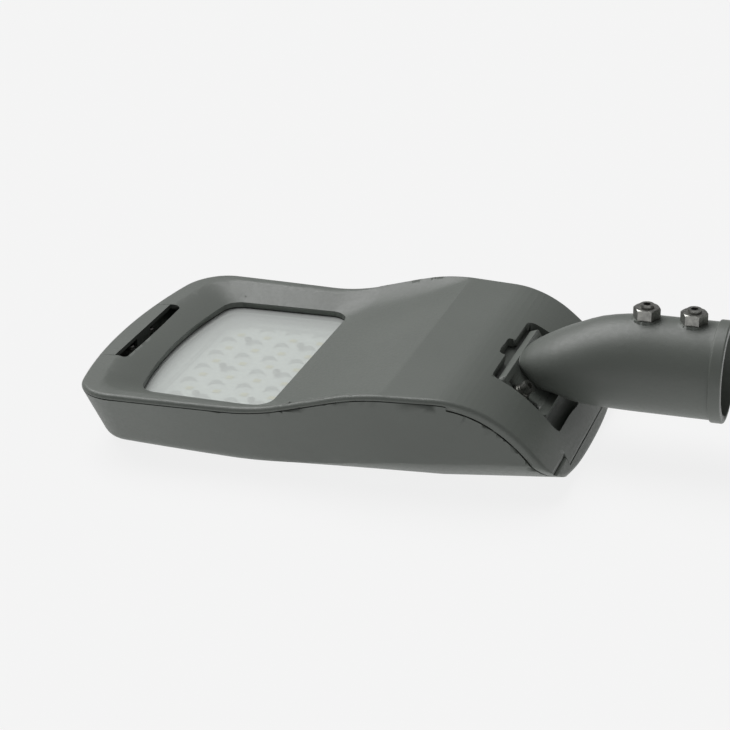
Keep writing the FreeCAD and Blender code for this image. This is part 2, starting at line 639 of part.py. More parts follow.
def housing():
    """Deep tray with a light bay and a gear bay, grooved back, hinge lugs and the knuckle's seat."""
    front_half = box(-FAR, SEAM_STEP_X, -SIDE, SIDE, -110, 60)
    rear_half = box(SEAM_STEP_X, 0, -SIDE, SIDE, -110, 60)
    body = OUTER.common(below_face(SEAM_DROP)).common(front_half)
    lowered = above_face(SEAM_DROP_REAR)
    middle = box(-FAR, 0, -LUG_START, LUG_START, -110, 60)
    rear_body = OUTER.common(rear_half)
    rear_body = rear_body.cut(lowered.common(middle).cut(beyond_hinge()))
    beside = lowered.common(box(-FAR, SLIT_X + SLIT_WIDTH, -SIDE, SIDE, -110, 60)).cut(middle)
    rear_body = rear_body.cut(beside.cut(barrel(LUG_RADIUS, SIDE, HINGE_X, HINGE_Z)))
    rear_body = rear_body.cut(barrel(BARREL_RADIUS + BARREL_GAP, LUG_START, HINGE_X, HINGE_Z))
    ridge = box(SLIT_X, SLIT_X + 12.0, -SIDE, SIDE, HINGE_Z + 1.0, 0).cut(middle)
    ridge = ridge.common(barrel(LUG_RADIUS + 5.0, SIDE, HINGE_X, HINGE_Z))
    rear_body = rear_body.cut(ridge.cut(barrel(LUG_RADIUS, SIDE, HINGE_X, HINGE_Z)))
    body = body.fuse(rear_body)
    # bays
    body = body.cut(INNER.common(box(-FAR, BAY_SPLIT_X, -SIDE, SIDE, DECK_Z, 40)))
    body = body.cut(INNER.common(box(BAY_SPLIT_X + WALL, GEAR_REAR_X, -SIDE, SIDE, BAY_FLOOR, 40)))
    split_top = RETAINER_BOTTOM - SCREW_HEAD_HEIGHT - 2.0
    body = body.cut(INNER.common(box(BAY_SPLIT_X - WALL, BAY_SPLIT_X + 2 * WALL, -SIDE, SIDE, split_top, 40)))
    shoulder = box(GEAR_REAR_X + 2 * WALL, POCKET_REAR_X - 9.0, POCKET_HALF + 6.0, SIDE, BAY_FLOOR, 40).common(INNER)
    body = body.cut(shoulder).cut(mirrored(shoulder))
    body = body.fuse(seal_ring(SEAL_BASE_DROP + LEDGE_THICKNESS, SEAL_BASE_DROP))
    # knuckle seat
    half = POCKET_HALF - CRADLE_GAP
    cradle = box(POCKET_FRONT_X + 1.5 * CRADLE_GAP, -113.0, -half, half, BASE_Z + 2.0, FACE_CREST_Z)
    body = body.fuse(cradle.common(below_face(COVER_EDGE_REAR + 1.0)))
    body = body.cut(barrel(CRADLE_RADIUS, POCKET_HALF + 0.5, KNUCKLE_X, KNUCKLE_Z))
    duct = polygon([knuckle_point(44.0, CABLE_WAY_START), vec(GEAR_REAR_X - 1.0, 0, -24.0),
                    vec(GEAR_REAR_X - 1.0, 0, -50.0), knuckle_point(58.0, CABLE_WAY_END - 2.0),
                    knuckle_point(44.0, CABLE_WAY_END)])
    body = body.cut(across(duct, CABLE_WAY_RADIUS + 3.0))
    for side in (-BOLT_SIDE, BOLT_SIDE):
        start = knuckle_point(CRADLE_RADIUS - 2.0, BOLT_ANGLE, side)
        body = body.cut(rod(BOLT_RADIUS + THREAD_CLEARANCE, BOLT_GRIP + 3.0, start, knuckle_out(BOLT_ANGLE)))
    # hinge pins
    for y in (LUG_START - 1.0, -PIN_OUTER):
        body = body.cut(rod(PIN_RADIUS + THREAD_CLEARANCE, PIN_OUTER - LUG_START + 1.0, vec(HINGE_X, y, HINGE_Z),
                            AXIS_Y))
    # cooling fins: grooves in the back
    x = FIN_FRONT_X
    while x + FIN_GAP < BAY_SPLIT_X - 3.0:
        body = body.cut(box(x, x + FIN_GAP, -FIN_HALF, FIN_HALF, BASE_Z - 1.0, DECK_Z - DECK_THICKNESS))
        x += FIN_PITCH
    # latch notch and the two feet that carry the keeper
    notch_half = EAR_OUTER + LATCH_GAP
    notch_z = LATCH_PIVOT_Z - LATCH_BARREL - RUNNING_GAP
    body = body.cut(box(-FAR, LATCH_PIVOT_X + 5.0, -notch_half, notch_half, notch_z, 0))
    for x, y in keeper_screw_places():
        foot = box(-FAR, KEEPER_TIP_X + 5.0, y - KEEPER_FOOT / 2, y + KEEPER_FOOT / 2, DECK_Z - 1.0, KEEPER_Z)
        body = body.fuse(foot.common(OUTER))
    for x, y, z, radius, depth in screw_holes():
        body = body.cut(rod(radius + THREAD_CLEARANCE, depth + 1.5, vec(x, y, z - depth - 0.5), AXIS_Z))
    return body


def led_places():
    xs = [LED_CENTRE_X + (i - (LED_COLUMNS - 1) / 2) * LED_PITCH_X for i in range(LED_COLUMNS)]
    ys = [(j - (LED_ROWS - 1) / 2) * LED_PITCH_Y for j in range(LED_ROWS)]
    return [(x, y) for x in xs for y in ys]


BOARD_HALF_X = (LED_COLUMNS - 1) / 2 * LED_PITCH_X + BOARD_MARGIN_X
BOARD_HALF_Y = (LED_ROWS - 1) / 2 * LED_PITCH_Y + BOARD_MARGIN_Y
BOARD_TOP = DECK_Z + BOARD_THICKNESS
LENS_BOTTOM = BOARD_TOP + CHIP_HEIGHT + CHIP_CLEARANCE
LENS_TOP = LENS_BOTTOM + LENS_PLATE


def slab(half_x, half_y, z0, z1):
    return box(LED_CENTRE_X - half_x, LED_CENTRE_X + half_x, -half_y, half_y, z0, z1)


def led_board():
    body = slab(BOARD_HALF_X, BOARD_HALF_Y, DECK_Z, BOARD_TOP)
    for x, y in led_screw_places():
        body = body.cut(rod(LED_SCREW_RADIUS + SCREW_PLAY, 10.0, vec(x, y, DECK_Z - 1.0), AXIS_Z))
    return body


def led_chips():
    half = CHIP_SIZE / 2
    return Part.makeCompound([box(x - half, x + half, y - half, y + half, BOARD_TOP, BOARD_TOP + CHIP_HEIGHT)
                              for x, y in led_places()])


def lens_array():
    """Clear tray over the board with one dome for each diode."""
    half_x, half_y = BOARD_HALF_X - 1.0, BOARD_HALF_Y - 1.0
    body = slab(half_x, half_y, BOARD_TOP, LENS_TOP)
    body = body.cut(slab(half_x - LENS_RIM, half_y - LENS_RIM, BOARD_TOP - 1.0, LENS_BOTTOM))
    for x, y in led_places():
        body = body.fuse(Part.makeCone(LENS_RADIUS, LENS_RADIUS * 0.55, LENS_HEIGHT, vec(x, y, LENS_TOP), AXIS_Z))
    for x, y in led_screw_places():
        body = body.cut(rod(LED_SCREW_RADIUS + SCREW_PLAY, 20.0, vec(x, y, DECK_Z - 1.0), AXIS_Z))
    return body


def pan_screw(x, y, seat, radius, head, depth):
    """Pan-head screw along Z with its head on seat."""
    body = rod(radius, depth + 0.1, vec(x, y, seat - depth), AXIS_Z)
    cap = rod(head, SCREW_HEAD_HEIGHT, vec(x, y, seat), AXIS_Z)
    top = [e for e in cap.Edges if e.BoundBox.ZMin > seat + SCREW_HEAD_HEIGHT - 0.01]
    cap = cap.makeChamfer(SCREW_HEAD_HEIGHT * 0.35, top)
    cap = cap.cut(hexagon(radius * 1.5, 1.2, vec(x, y, seat + SCREW_HEAD_HEIGHT - 1.1), AXIS_Z))
    return body.fuse(cap)


def led_screws():
    depth = LENS_TOP - DECK_Z + DECK_THICKNESS - 1.0
    return Part.makeCompound([pan_screw(x, y, LENS_TOP, LED_SCREW_RADIUS, LED_SCREW_HEAD, depth)
                              for x, y in led_screw_places()])


def light_shield():
    """Frame that lies on the deck round the board."""
    space = box(SHIELD_FRONT_X, BAY_SPLIT_X - 1.0, -SHIELD_HALF, SHIELD_HALF, DECK_Z, DECK_Z + SHIELD_THICKNESS)
    space = space.common(inner_shape(WALL + SEAM_GAP))
    return space.cut(slab(BOARD_HALF_X + SHIELD_GAP, BOARD_HALF_Y + SHIELD_GAP, -100, 40))


def driver():
    x0, x1 = DRIVER_X + DRIVER_EAR, DRIVER_X + DRIVER_LENGTH - DRIVER_EAR
    body = box(x0, x1, DRIVER_Y, DRIVER_Y + DRIVER_WIDTH, BAY_FLOOR, BAY_FLOOR + DRIVER_HEIGHT)
    body = body.makeFillet(2.0, [e for e in body.Edges if e.BoundBox.ZMin > BAY_FLOOR + 1.0])
    middle = DRIVER_Y + DRIVER_WIDTH / 2
    ear = box(DRIVER_X, DRIVER_X + DRIVER_LENGTH, middle - 8.0, middle + 8.0, BAY_FLOOR,
              BAY_FLOOR + EAR_THICKNESS)
    ear = ear.makeFillet(4.0, upright_edges(ear, lambda x: True))
    body = body.fuse(ear)
    for x, y in driver_ears():
        body = body.cut(rod(BAY_SCREW_RADIUS + SCREW_PLAY, 10.0, vec(x, y, BAY_FLOOR - 1.0), AXIS_Z))
    return body


def driver_screws():
    seat = BAY_FLOOR + EAR_THICKNESS
    return Part.makeCompound([pan_screw(x, y, seat, BAY_SCREW_RADIUS, 3.6, EAR_THICKNESS + BAY_SCREW_DEPTH)
                              for x, y in driver_ears()])


def surge_protector():
    body = box(SURGE_X, SURGE_X + SURGE_LENGTH, SURGE_Y, SURGE_Y + SURGE_WIDTH, BAY_FLOOR,
               BAY_FLOOR + SURGE_HEIGHT)
    return body.makeFillet(3.0, [e for e in body.Edges if e.BoundBox.ZMax > BAY_FLOOR + 1.0])


def terminal_block():
    """Row of cable clamps with a stepped front, a funnel and a screw well for each pole."""
    width = TERMINAL_POLES * TERMINAL_PITCH
    x0, x1, y0, z0 = TERMINAL_X, TERMINAL_X + TERMINAL_LENGTH, TERMINAL_Y, BAY_FLOOR
    body = box(x0, x1, y0, y0 + width, z0, z0 + TERMINAL_HEIGHT)
    body = body.cut(box(x1 - TERMINAL_LENGTH * 0.4, x1 + 1, y0 - 1, y0 + width + 1,
                        z0 + TERMINAL_HEIGHT * 0.7, z0 + TERMINAL_HEIGHT + 1))
    for k in range(TERMINAL_POLES):
        y = y0 + (k + 0.5) * TERMINAL_PITCH
        body = body.cut(rod(TERMINAL_PITCH * 0.3, 8.0, vec(x1 - 7.0, y, z0 + 5.5), AXIS_X))
        body = body.cut(rod(TERMINAL_PITCH * 0.28, 4.0, vec(x0 + 6.0, y, z0 + TERMINAL_HEIGHT - 3.0), AXIS_Z))
    return body


def cable_clamp():
    """Saddle bar on two posts, open below for the supply cable."""
    half = CLAMP_SPAN + CLAMP_POST / 2
    body = box(CLAMP_X - CLAMP_POST / 2, CLAMP_X + CLAMP_POST / 2, -half, half, BAY_FLOOR, BAY_FLOOR + CLAMP_HEIGHT)
    body = body.makeFillet(2.0, [e for e in body.Edges if e.BoundBox.ZMin > BAY_FLOOR + 1.0])
    gap = CLAMP_SPAN - CLAMP_POST / 2
    return body.cut(box(CLAMP_X - CLAMP_POST, CLAMP_X + CLAMP_POST, -gap, gap, BAY_FLOOR - 1.0,
                        BAY_FLOOR + CLAMP_HEIGHT - 6.0))


def main_gasket():
    ring = seal_ring(SEAL_BASE_DROP, COVER_EDGE + RUNNING_GAP)
    rear = box(SEAM_STEP_X - RUNNING_GAP, 0, -SIDE, SIDE, -100, 60)
    ring = ring.cut(above_face(COVER_EDGE_REAR + RUNNING_GAP).common(rear))
    ring = ring.cut(border_space(BORDER_THICKNESS + RUNNING_GAP))
    return ring.cut(window_prism(FLANGE_WIDTH + RUNNING_GAP, FLANGE_Z - RUNNING_GAP, 0.0))


def window_gasket():
    outside = window_prism(GLASS_GASKET_WIDTH, GLASS_TOP, FLANGE_Z)
    return outside.cut(window_prism(0.0, GLASS_TOP - 1.0, FLANGE_Z + 1.0))


def window_glass():
    return window_prism(GLASS_OVERLAP, GLASS_BOTTOM, GLASS_TOP)


def glass_retainer():
    ring = window_prism(FLANGE_WIDTH, RETAINER_BOTTOM, GLASS_BOTTOM)
    ring = ring.cut(window_prism(1.0, RETAINER_BOTTOM - 1.0, GLASS_BOTTOM + 1.0))
    for x, y in boss_places():
        ring = ring.cut(rod(RETAINER_SCREW_RADIUS + SCREW_PLAY, 6.0, vec(x, y, RETAINER_BOTTOM - 1.0), AXIS_Z))
    return ring


def retainer_screws():
    screws = []
    for x, y in boss_places():
        shaft = rod(RETAINER_SCREW_RADIUS, 6.0, vec(x, y, RETAINER_BOTTOM - 0.1), AXIS_Z)
        head = rod(3.0, SCREW_HEAD_HEIGHT, vec(x, y, RETAINER_BOTTOM - SCREW_HEAD_HEIGHT), AXIS_Z)
        head = head.cut(hexagon(2.2, 1.2, vec(x, y, RETAINER_BOTTOM - SCREW_HEAD_HEIGHT - 0.1), AXIS_Z))
        screws.append(shaft.fuse(head))
    return Part.makeCompound(screws)


def latch():
    """Plate flush with the cover, with a barrel at the front edge and a hook below."""
    px, pz = LATCH_PIVOT_X, LATCH_PIVOT_Z
    rise = math.tan(math.radians(38.0))
    low = FACE_FRONT_Z - LATCH_PLATE
    plate = polygon([vec(-FAR, 0, 0), vec(SLOT_FRONT_X, 0, 0), vec(SLOT_FRONT_X, 0, low), vec(px, 0, low),
                     vec(px, 0, pz), vec(px - LATCH_BARREL * 0.9, 0, pz), vec(px - 25.0, 0, pz + 25.0 * rise)])
    body = across(plate, LATCH_HALF).common(OUTER)
    body = body.fuse(barrel(LATCH_BARREL, LATCH_HALF, px, pz).common(OUTER))
    leg_x = HOOK_TIP_X + HOOK_REACH
    hook = polygon([vec(leg_x, 0, low + 1.0), vec(leg_x + HOOK_LEG, 0, low + 1.0),
                    vec(leg_x + HOOK_LEG, 0, HOOK_TOP - 3.0), vec(HOOK_TIP_X + 1.5, 0, HOOK_TOP - 3.0),
                    vec(HOOK_TIP_X, 0, HOOK_TOP - 1.5), vec(HOOK_TIP_X, 0, HOOK_TOP), vec(leg_x, 0, HOOK_TOP)])
    body = body.fuse(across(hook, HOOK_HALF))
    return body.cut(barrel(LATCH_PIN_RADIUS + THREAD_CLEARANCE, SIDE, px, pz))


def latch_pin():
    return barrel(LATCH_PIN_RADIUS, EAR_OUTER - 1.5, LATCH_PIVOT_X, LATCH_PIVOT_Z)


def latch_keeper():
    """Strip across the two feet, its edge just in front of the hook."""
    half = KEEPER_SCREW_Y + KEEPER_FOOT / 2
    top = KEEPER_Z + KEEPER_THICKNESS
    body = box(KEEPER_TIP_X - KEEPER_WIDTH, KEEPER_TIP_X, -half, half, KEEPER_Z, top)
    for x, y in keeper_screw_places():
        body = body.fuse(box(KEEPER_TIP_X - KEEPER_WIDTH, KEEPER_TIP_X + 5.0, y - KEEPER_FOOT / 2,
                             y + KEEPER_FOOT / 2, KEEPER_Z, top))
    for x, y in keeper_screw_places():
        body = body.cut(rod(KEEPER_SCREW_RADIUS + SCREW_PLAY, 6.0, vec(x, y, KEEPER_Z - 1.0), AXIS_Z))
    return body


def keeper_screws():
    seat = KEEPER_Z + KEEPER_THICKNESS
    return Part.makeCompound([pan_screw(x, y, seat, KEEPER_SCREW_RADIUS, 2.8, KEEPER_THICKNESS + 5.0)
                              for x, y in keeper_screw_places()])


def hinge_pins():
    length = PIN_OUTER - PIN_INNER
    return Part.makeCompound([rod(PIN_RADIUS, length, vec(HINGE_X, PIN_INNER, HINGE_Z), AXIS_Y),
                              rod(PIN_RADIUS, length, vec(HINGE_X, -PIN_OUTER, HINGE_Z), AXIS_Y)])


def between(before, start, end, after, t):
    """Smooth value between two neighbours in a row of four."""
    return start + 0.5 * t * (end - before + t * (2 * before - 5 * start + 4 * end - after
                                                  + t * (3 * (start - end) + after - before)))


def nose_rows():
    """Sections of the nose with smooth ones filled in between."""
    rows = [(-STRAIGHT_TUBE - KNUCKLE_X, 0.0, 1.0, 1.0)] + list(NOSE_SECTIONS)
    rows = [(2 * rows[0][0] - rows[1][0],) + rows[0][1:]] + rows + [rows[-1]]
    filled = []
    for k in range(1, len(rows) - 2):
        for step in range(NOSE_STEPS):
            filled.append([between(*[row[i] for row in rows[k - 1:k + 3]], step / NOSE_STEPS) for i in range(4)])
    return filled + [rows[-1]]


def spline_section(x, z, half_height, half_width):
    """Closed smooth section across the X axis, always started at the side."""
    count = 16
    turns = [2 * math.pi * k / count for k in range(count)]
    curve = Part.BSplineCurve()
    curve.interpolate(Points=[vec(x, half_width * math.cos(t), z + half_height * math.sin(t)) for t in turns],
                      PeriodicFlag=True)
    return Part.Wire([curve.toShape()])


def plate():
    """Curved plate with two slots along the way it tilts."""
    body = sector(KNUCKLE_RADIUS, PLATE_OUTER, PLATE_START, PLATE_END, PLATE_HALF_WIDTH)
    corners = [e for e in body.Edges if e.BoundBox.YLength < 0.01 and abs(e.Length - PLATE_THICKNESS) < 0.01]
    body = body.makeFillet(PLATE_CORNER, corners)
    for side in (-BOLT_SIDE, BOLT_SIDE):
        slot = sector(KNUCKLE_RADIUS - 3.0, PLATE_OUTER + 3.0, SLOT_START, SLOT_END, SLOT_HALF_WIDTH)
        slot = shifted(slot, 0, side, 0)
        for degrees in (SLOT_START, SLOT_END):
            start = knuckle_point(KNUCKLE_RADIUS - 5.0, degrees, side)
            slot = slot.fuse(rod(SLOT_HALF_WIDTH, PLATE_THICKNESS + 10.0, start, knuckle_out(degrees)))
        body = body.cut(slot)
    return body


def spigot():
    """Socket for the pole end, drawn down to a nose that stands on the curved plate."""
    radius = TUBE_DIAMETER / 2
    bore = BORE_DIAMETER / 2
    sections = [spline_section(-COLLAR_LENGTH / 2, 0.0, radius, radius)]
    sections += [spline_section(KNUCKLE_X + offset, z, high * radius, wide * radius)
                 for offset, z, high, wide in nose_rows()]
    nose = Part.makeLoft(sections, True, True)
    keep = sector(1.0, PLATE_OUTER - 0.5, 90.0, 270.0, SIDE)
    keep = keep.fuse(box(KNUCKLE_X - 3.0, 0, -SIDE, SIDE, -80, 60))
    body = nose.common(keep).fuse(plate())
    collar = rod(radius + COLLAR_RISE, COLLAR_LENGTH, vec(-COLLAR_LENGTH, 0, 0), AXIS_X)
    collar = collar.makeFillet(1.2, [e for e in collar.Edges if e.BoundBox.XLength < 0.01])
    body = body.fuse(collar)
    for x in SET_SCREW_PLACES:
        body = body.fuse(rod(NUT_ACROSS_FLATS * 0.62, radius, vec(x, 0, 0), AXIS_Z))
    body = body.cut(rod(bore, BORE_LENGTH + 1.0, vec(-BORE_LENGTH, 0, 0), AXIS_X))
    start = vec(-BORE_LENGTH + 8.0, 0, 0)
    end = knuckle_point(PLATE_OUTER + 3.0, (CABLE_WAY_START + CABLE_WAY_END) / 2)
    body = body.cut(rod(CABLE_WAY_RADIUS, (end - start).Length, start, end - start))
    for x in SET_SCREW_PLACES:
        body = body.cut(rod(SET_SCREW_RADIUS + THREAD_CLEARANCE, radius + 5.0, vec(x, 0, 10.0), AXIS_Z))
    return body


def set_screws():
    low = BORE_DIAMETER / 2 + SCREW_BACK_OFF
    high = TUBE_DIAMETER / 2 + NUT_HEIGHT + SCREW_STICK_OUT
    screws = []
    for x in SET_SCREW_PLACES:
        screw = rod(SET_SCREW_RADIUS, high - low, vec(x, 0, low), AXIS_Z)
        screws.append(screw.cut(hexagon(SET_SCREW_RADIUS, 6.0, vec(x, 0, high - 5.0), AXIS_Z)))
    return Part.makeCompound(screws)


def lock_nuts():
    base = TUBE_DIAMETER / 2
    corner = NUT_ACROSS_FLATS / math.sqrt(3)
    nuts = []
    for x in SET_SCREW_PLACES:
        nut = hexagon(NUT_ACROSS_FLATS, NUT_HEIGHT, vec(x, 0, base), AXIS_Z)
        crown = Part.makeCone(corner + NUT_HEIGHT * 1.7 - 1.2, corner - 1.2, NUT_HEIGHT, vec(x, 0, base), AXIS_Z)
        hole = rod(SET_SCREW_RADIUS + THREAD_CLEARANCE, NUT_HEIGHT + 2.0, vec(x, 0, base - 1.0), AXIS_Z)
        nuts.append(nut.common(crown).cut(hole))
    return Part.makeCompound(nuts)


WASHER_OUTER = KNUCKLE_RADIUS - RUNNING_GAP
WASHER_TOP = WASHER_OUTER - 2.2
SPRING_TOP = WASHER_TOP - 1.6
OUT = knuckle_out(BOLT_ANGLE)


def on_bolt(radius, length, distance, side):
    """Cylinder along a bolt, from a distance off the tilt axis outwards."""
    return rod(radius, length, knuckle_point(distance, BOLT_ANGLE, side), OUT)


def tilt_bolts():
    bolts = []
    for side in (-BOLT_SIDE, BOLT_SIDE):
        head = on_bolt(BOLT_HEAD_RADIUS, BOLT_HEAD, SPRING_TOP - BOLT_HEAD, side)
        bolt = head.fuse(on_bolt(BOLT_RADIUS, CRADLE_RADIUS + BOLT_GRIP - SPRING_TOP, SPRING_TOP - 0.1, side))
        socket = hexagon(5.0, 3.5, knuckle_point(SPRING_TOP - BOLT_HEAD - 0.5, BOLT_ANGLE, side), OUT)
        bolts.append(bolt.cut(socket))
    return Part.makeCompound(bolts)


def tilt_washers():
    washers = []
    for side in (-BOLT_SIDE, BOLT_SIDE):
        disc = on_bolt(BOLT_RADIUS * 2.1, 10.0, WASHER_TOP, side)
        disc = disc.common(barrel(WASHER_OUTER, SIDE, KNUCKLE_X, KNUCKLE_Z))
        washers.append(disc.cut(on_bolt(BOLT_RADIUS + 0.2, 20.0, WASHER_TOP - 5.0, side)))
    return Part.makeCompound(washers)


def tilt_spring_washers():
    rings = []
    for side in (-BOLT_SIDE, BOLT_SIDE):
        ring = on_bolt(BOLT_HEAD_RADIUS + 0.5, WASHER_TOP - SPRING_TOP, SPRING_TOP, side)
        rings.append(ring.cut(on_bolt(BOLT_RADIUS + 0.2, 6.0, SPRING_TOP - 1.0, side)))
    return Part.makeCompound(rings)


NODES = (("housing", housing), ("cover_frame", cover_frame), ("window_glass", window_glass),
         ("window_gasket", window_gasket), ("glass_retainer", glass_retainer),
         ("retainer_screws", retainer_screws), ("latch", latch), ("latch_pin", latch_pin),
         ("latch_keeper", latch_keeper), ("keeper_screws", keeper_screws), ("hinge_pins", hinge_pins),
         ("led_board", led_board), ("led_chips", led_chips), ("lens_array", lens_array),
         ("led_screws", led_screws), ("light_shield", light_shield), ("driver", driver),
         ("driver_screws", driver_screws), ("surge_protector", surge_protector),
         ("terminal_block", terminal_block), ("cable_clamp", cable_clamp), ("main_gasket", main_gasket),
         ("spigot", spigot), ("set_screws", set_screws), ("lock_nuts", lock_nuts),
         ("tilt_bolts", tilt_bolts), ("tilt_washers", tilt_washers),
         ("tilt_spring_washers", tilt_spring_washers))

os.makedirs("parts", exist_ok=True)
for name, make in NODES:
    shape = make()
    print(name, shape.isValid(), len(shape.Solids), round(shape.Volume))
    shape.exportStep("parts/" + name + ".step")
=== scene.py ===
"""Street lamp head lying on its back: cast housing, latched light cover and a tilting pole socket."""
import math

import bmesh
import bpy
from mathutils import Matrix, Vector


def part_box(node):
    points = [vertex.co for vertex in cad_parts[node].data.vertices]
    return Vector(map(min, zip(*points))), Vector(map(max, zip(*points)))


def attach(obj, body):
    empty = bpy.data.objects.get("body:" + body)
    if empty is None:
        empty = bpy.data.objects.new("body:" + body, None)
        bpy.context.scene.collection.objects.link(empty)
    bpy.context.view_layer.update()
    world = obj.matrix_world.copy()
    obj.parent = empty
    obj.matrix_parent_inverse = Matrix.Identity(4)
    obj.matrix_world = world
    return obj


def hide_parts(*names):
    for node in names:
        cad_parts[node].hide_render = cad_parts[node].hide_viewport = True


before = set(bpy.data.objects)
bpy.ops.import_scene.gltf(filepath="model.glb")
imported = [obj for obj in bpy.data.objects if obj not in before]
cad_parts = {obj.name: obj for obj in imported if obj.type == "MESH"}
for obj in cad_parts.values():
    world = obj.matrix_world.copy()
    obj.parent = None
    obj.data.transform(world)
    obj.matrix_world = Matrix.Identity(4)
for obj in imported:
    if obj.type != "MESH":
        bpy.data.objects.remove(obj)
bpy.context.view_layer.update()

# Studio: a pale table under a soft sky, with one broad main light from above, beyond the lamp's tip and on
# its far side. The table glows by itself, as a lit sweep does, so shadows on it stay faint.

TABLE_SIZE = 24.0
TABLE_GAP = 0.0005
TABLE_GLOW = 0.84
SKY_STRENGTH = 0.20
MAIN_LIGHT_STRENGTH = 2.8
MAIN_LIGHT_SPREAD = math.radians(50.0)
MAIN_LIGHT_DIRECTION = Vector((0.55, -0.35, -1.0))
TABLE_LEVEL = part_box("housing")[0][2] - TABLE_GAP
bpy.ops.object.select_all(action="DESELECT")
bpy.ops.mesh.primitive_plane_add(size=TABLE_SIZE, location=(0.0, 0.0, TABLE_LEVEL))
table = bpy.context.object
table.name = "studio_table"
sweep = bpy.data.materials.new("table_sweep")
sweep.use_nodes = True
shader = sweep.node_tree.nodes["Principled BSDF"]
shader.inputs["Base Color"].default_value = (0.07, 0.07, 0.07, 1.0)
shader.inputs["Roughness"].default_value = 0.9
shader.inputs["Specular IOR Level"].default_value = 0.0
shader.inputs["Emission Color"].default_value = (1.0, 1.0, 1.0, 1.0)
shader.inputs["Emission Strength"].default_value = TABLE_GLOW
table.data.materials.append(sweep)

sky = bpy.data.worlds.new("studio_sky")
sky.use_nodes = True
sky.node_tree.nodes["Background"].inputs["Color"].default_value = (1.0, 1.0, 1.0, 1.0)
sky.node_tree.nodes["Background"].inputs["Strength"].default_value = SKY_STRENGTH
bpy.context.scene.world = sky
bpy.context.scene.view_settings.view_transform = "Standard"

bpy.ops.object.light_add(type="SUN")
main_light = bpy.context.object
main_light.data.energy = MAIN_LIGHT_STRENGTH
main_light.data.angle = MAIN_LIGHT_SPREAD
main_light.rotation_euler = MAIN_LIGHT_DIRECTION.to_track_quat("-Z", "Y").to_euler()

CAMERA_PLACE = (0.20866, -1.38633, 0.61390)
CAMERA_AZIMUTH = math.radians(19.05)
CAMERA_ELEVATION = math.radians(23.60)
CAMERA_ROLL = math.radians(-1.24)
CAMERA_SENSOR = 36.0
CAMERA_LENS = 105.97
away = Vector((math.sin(CAMERA_AZIMUTH) * math.cos(CAMERA_ELEVATION),
               -math.cos(CAMERA_AZIMUTH) * math.cos(CAMERA_ELEVATION), math.sin(CAMERA_ELEVATION)))
level = Vector((math.cos(CAMERA_AZIMUTH), math.sin(CAMERA_AZIMUTH), 0.0))
upright = away.cross(level)
across = level * math.cos(CAMERA_ROLL) + upright * math.sin(CAMERA_ROLL)
upward = upright * math.cos(CAMERA_ROLL) - level * math.sin(CAMERA_ROLL)
bpy.ops.object.camera_add()
camera = bpy.context.object
camera.matrix_world = Matrix.Translation(CAMERA_PLACE) @ Matrix((across, upward, away)).transposed().to_4x4()
camera.data.sensor_width = CAMERA_SENSOR
camera.data.lens = CAMERA_LENS
camera.data.clip_start = 0.05
camera.data.clip_end = 60.0
bpy.context.scene.camera = camera

# Housing: a deep die-cast aluminium tray with cooling grooves in its back, powder coated inside and out.
# It is the casting's own shape, with its faces joined and its walls cut into a net, so that the long curves
# shade smoothly.

WALL_LENGTH_SPAN = (-0.470, -0.080)
WALL_HEIGHT_SPAN = (-0.0655, 0.008)
WALL_NET_ALONG = 0.010
WALL_NET_UP = 0.0085
WALL_STEEPNESS = 0.75
SMALLEST_WALL_FACE = 4e-6
SMOOTH_ANGLE = math.radians(33.0)


def new_material(name):
    """An empty material and its main shader."""
    made = bpy.data.materials.new(name)
    made.use_nodes = True
    return made, made.node_tree.nodes["Principled BSDF"]


def grain(material, scale, low, high, detail=2.0):
    """Noise in object space, stretched to a range of values."""
    tree = material.node_tree
    place = tree.nodes.new("ShaderNodeTexCoord")
    noise = tree.nodes.new("ShaderNodeTexNoise")
    noise.inputs["Scale"].default_value = scale
    noise.inputs["Detail"].default_value = detail
    spread = tree.nodes.new("ShaderNodeMapRange")
    spread.inputs["From Min"].default_value = 0.3
    spread.inputs["From Max"].default_value = 0.7
    spread.inputs["To Min"].default_value = low
    spread.inputs["To Max"].default_value = high
    tree.links.new(place.outputs["Object"], noise.inputs["Vector"])
    tree.links.new(noise.outputs["Fac"], spread.inputs["Value"])
    return spread.outputs["Result"]


def bump(material, height, strength, distance):
    """Fine relief in the surface."""
    tree = material.node_tree
    node = tree.nodes.new("ShaderNodeBump")
    node.inputs["Strength"].default_value = strength
    node.inputs["Distance"].default_value = distance
    tree.links.new(height, node.inputs["Height"])
    tree.links.new(node.outputs["Normal"], tree.nodes["Principled BSDF"].inputs["Normal"])


def mottled(material, dark, light, fac):
    """Base colour between two colours."""
    tree = material.node_tree
    mix = tree.nodes.new("ShaderNodeMix")
    mix.data_type = "RGBA"
    mix.inputs["A"].default_value = (*dark, 1.0)
    mix.inputs["B"].default_value = (*light, 1.0)
    tree.links.new(fac, mix.inputs["Factor"])
    tree.links.new(mix.outputs["Result"], tree.nodes["Principled BSDF"].inputs["Base Color"])


coat, shader = new_material("satin_powder_coat")
mottled(coat, (0.108, 0.119, 0.107), (0.120, 0.132, 0.119), grain(coat, 9.0, 0.0, 1.0, 4.0))
coat.node_tree.links.new(grain(coat, 420.0, 0.40, 0.50), shader.inputs["Roughness"])
bump(coat, grain(coat, 1500.0, 0.0, 1.0, 3.0), 0.10, 0.0004)


def dress(node, material):
    """Gives a CAD node one material all over."""
    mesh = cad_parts[node].data
    mesh.materials.clear()
    mesh.materials.append(material)


